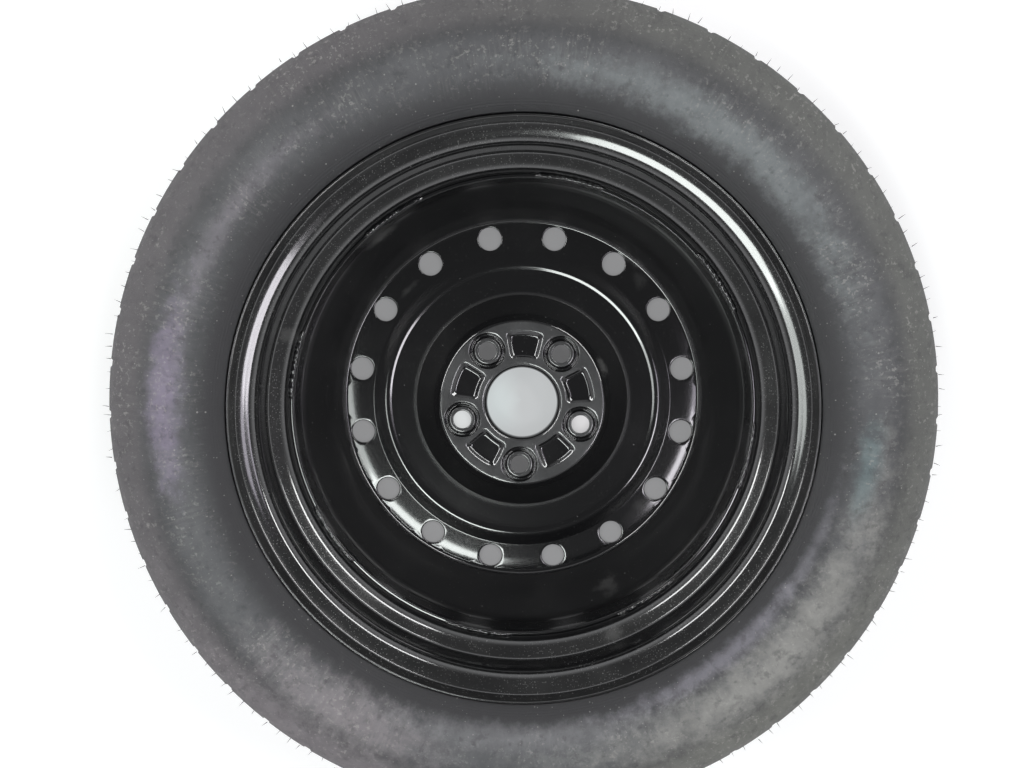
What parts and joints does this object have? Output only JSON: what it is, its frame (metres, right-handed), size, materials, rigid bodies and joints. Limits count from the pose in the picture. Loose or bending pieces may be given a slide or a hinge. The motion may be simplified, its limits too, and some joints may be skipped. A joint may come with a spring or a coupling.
{
  "type": "space saver spare wheel",
  "caption": "Narrow temporary-use spare wheel: gloss black pressed steel wheel with a ring of round vents and a bolted hub, a slim tyre and a capped snap-in valve.",
  "frame": {"origin": "centre of the bore, on the hub mounting face", "axes": "+Z along the wheel's axis to the car side, up as the wheel lies on its outer side; +Y towards the valve"},
  "size_m": [0.6748, 0.6748, 0.14],
  "materials": {
    "tyre_rubber": "matte, dusty",
    "wheel_paint": "gloss black, dusty",
    "stem_rubber": "matte",
    "stem_brass": "turned",
    "seal_rubber": "matte",
    "spring_steel": "drawn wire",
    "cap_plastic": "moulded"
  },
  "bodies": {
    "wheel": {"tyre": "tyre_rubber", "rim": "wheel_paint", "wheel_disc": "wheel_paint", "disc_welds": "wheel_paint", "valve_stem_rubber": "stem_rubber", "valve_stem_tube": "stem_brass", "valve_core_barrel": "stem_brass", "valve_core_gasket": "seal_rubber", "valve_spring": "spring_steel"},
    "pin": {"valve_pin": "stem_brass", "valve_poppet_cup": "stem_brass", "valve_poppet_seal": "seal_rubber"},
    "cap_seal": {"valve_cap_gasket": "seal_rubber"},
    "cap": {"valve_cap": "cap_plastic"}
  },
  "joints": [
    {"name": "pin_press", "type": "slide", "parent": "wheel", "child": "pin", "axis": [0, 0.5, 0.866], "range_m": [0, 0.001], "stiffness_N_per_m": 3000, "springref_m": -0.001, "deforming": ["valve_spring"]},
    {"name": "cap_rise", "type": "slide", "parent": "wheel", "child": "cap_seal", "axis": [0, -0.5, -0.866], "range_m": [0, 0.004]},
    {"name": "cap_turn", "type": "hinge", "parent": "cap_seal", "child": "cap", "pos_m": [0, 0.19258, -0.00639], "axis": [0, -0.5, -0.866], "range_deg": [0, 1815]}
  ],
  "couplings": [
    {"joint": "cap_turn", "follows": "cap_rise", "rad_per_m": 7915.8}
  ]
}
